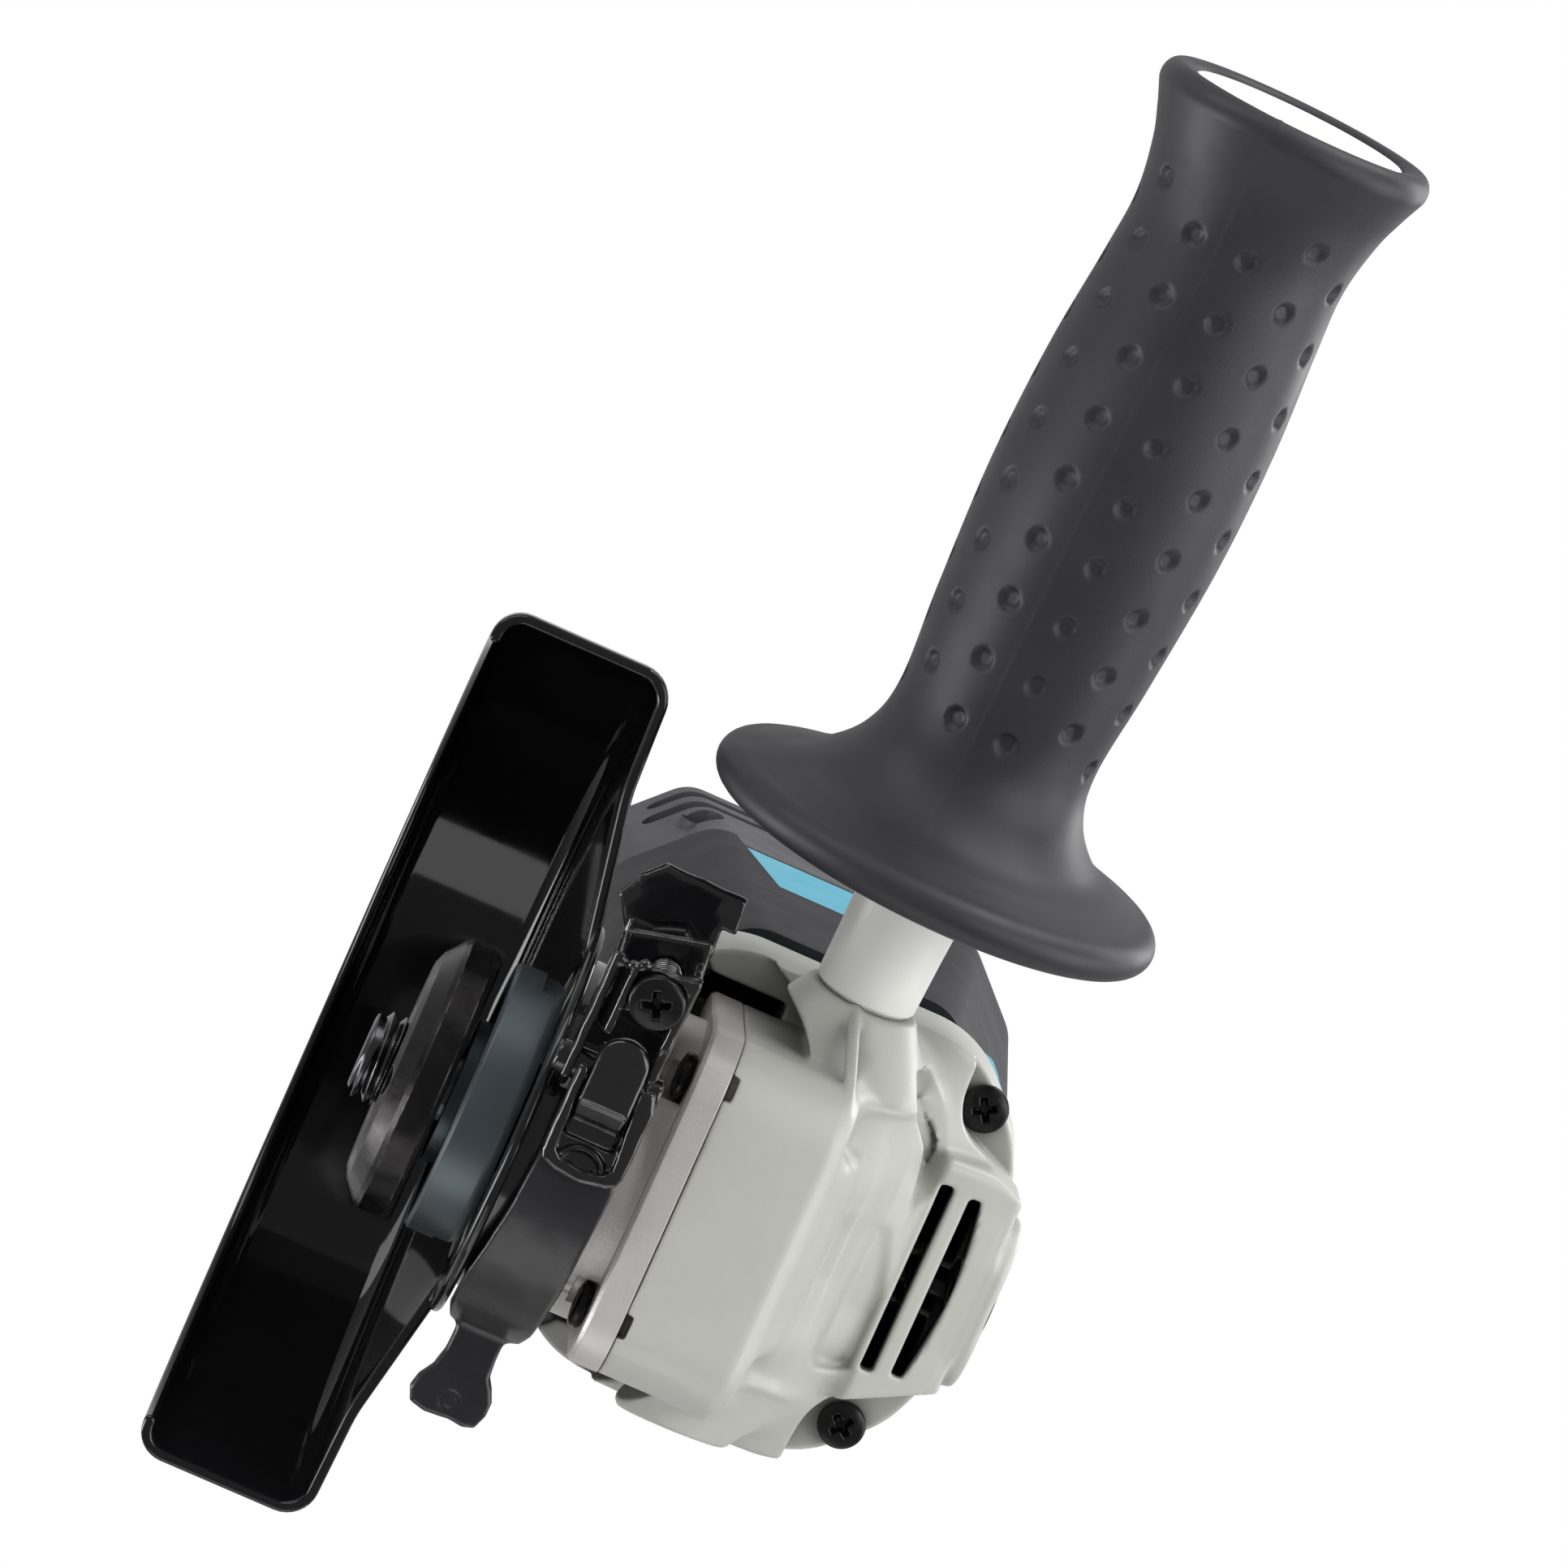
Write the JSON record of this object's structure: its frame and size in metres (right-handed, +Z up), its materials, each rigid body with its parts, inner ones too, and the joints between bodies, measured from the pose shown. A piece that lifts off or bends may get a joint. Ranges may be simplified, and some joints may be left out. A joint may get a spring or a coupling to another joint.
{
  "type": "angle grinder",
  "caption": "Handheld angle grinder with a bevel gear head, side handle, half-round wheel guard with a lever clamp, spindle lock and slide switch.",
  "frame": {"origin": "on the spindle axis at the inner flange's clamping face", "axes": "+Z up the spindle into the gear head, +X out of the nose with the motor behind it along -X, and the side handle on -Y"},
  "size_m": [0.32, 0.2486, 0.108],
  "materials": {
    "cast_paint": "satin warm light grey paint on cast aluminium",
    "blasted_aluminium": "fine blasted die-cast aluminium",
    "guard_black": "thick gloss black coating on steel sheet",
    "lever_grey": "satin black coating on steel sheet",
    "black_oxide": "black oxide steel screws",
    "bright_steel": "bright turned steel",
    "gear_steel": "hardened and ground gear steel",
    "blued_steel": "blued dark steel",
    "bearing_steel": "ground bearing steel",
    "teal_plastic": "teal moulded nylon",
    "dark_rubber": "charcoal soft-touch elastomer",
    "dark_plastic": "charcoal moulded nylon",
    "white_plastic": "off-white moulded nylon",
    "lamination_steel": "stacked lamination steel",
    "copper": "enamelled copper wire",
    "brass": "plain brass",
    "carbon": "carbon brush"
  },
  "bodies": {
    "housing": {"gear_housing": "cast_paint", "gear_housing_screws": "black_oxide", "bearing_box": "blasted_aluminium", "bearing_box_screws": "black_oxide", "upper_bearing": "bearing_steel", "lower_bearing_outer": "bearing_steel", "lower_bearing_balls": "bearing_steel", "front_bearing_outer": "bearing_steel", "front_bearing_balls": "bearing_steel", "rear_bearing_outer": "bearing_steel", "rear_bearing_balls": "bearing_steel", "motor_housing": "teal_plastic", "barrel_skin": "dark_rubber", "rear_shell_left": "dark_plastic", "rear_shell_right": "dark_plastic", "rear_shell_screws": "black_oxide", "stator_core": "lamination_steel", "field_windings": "copper", "fan_baffle": "dark_plastic", "brush_holders": "brass", "brushes": "carbon", "brush_springs": "bright_steel", "switch_body": "dark_plastic", "cord_gland": "dark_rubber", "cord_clamp": "dark_plastic", "handle_core": "white_plastic", "handle_grip": "dark_rubber", "handle_stud": "bright_steel", "lock_spring": "bright_steel"},
    "spindle": {"spindle": "bright_steel", "inner_flange": "blued_steel", "lock_nut": "blued_steel", "dust_ring": "gear_steel", "crown_gear": "gear_steel", "lower_bearing_inner": "bearing_steel"},
    "rotor": {"armature_shaft": "bright_steel", "pinion": "gear_steel", "armature_core": "lamination_steel", "armature_windings": "copper", "commutator": "copper", "fan": "dark_plastic", "front_bearing_inner": "bearing_steel", "rear_bearing_inner": "bearing_steel"},
    "guard": {"guard_shell": "guard_black", "collar_band": "guard_black", "anchor_bracket": "guard_black", "guard_rivets": "guard_black", "link_channel": "guard_black", "clamp_screw": "black_oxide", "clamp_nut": "black_oxide", "lever_pin": "guard_black"},
    "clamp_lever": {"clamp_lever": "lever_grey"},
    "lock_button": {"lock_button": "dark_plastic", "lock_pin": "bright_steel"},
    "switch": {"switch_slider": "dark_plastic", "switch_rod": "dark_plastic"}
  },
  "joints": [
    {"name": "rotor_spin", "type": "hinge", "parent": "housing", "child": "rotor", "pos_m": [0, 0, 0.048], "axis": [1, 0, 0], "continuous": true},
    {"name": "spindle_spin", "type": "hinge", "parent": "housing", "child": "spindle", "pos_m": [0, 0, 0], "axis": [0, 0, 1], "continuous": true},
    {"name": "guard_swivel", "type": "hinge", "parent": "housing", "child": "guard", "pos_m": [0, 0, 0.017], "axis": [0, 0, 1], "range_deg": [-20, 20]},
    {"name": "clamp_lever_pivot", "type": "hinge", "parent": "guard", "child": "clamp_lever", "pos_m": [0.0292, -0.0155, 0.017], "axis": [0, 0, -1], "range_deg": [0, 100]},
    {"name": "spindle_lock", "type": "slide", "parent": "housing", "child": "lock_button", "axis": [0, 0, -1], "range_m": [0, 0.004], "stiffness_N_per_m": 800, "springref_m": -0.002, "deforming": ["lock_spring"]},
    {"name": "power_slide", "type": "slide", "parent": "housing", "child": "switch", "axis": [1, 0, 0], "range_m": [0, 0.006]}
  ],
  "couplings": [
    {"joint": "spindle_spin", "follows": "rotor_spin", "ratio": -0.27027}
  ]
}
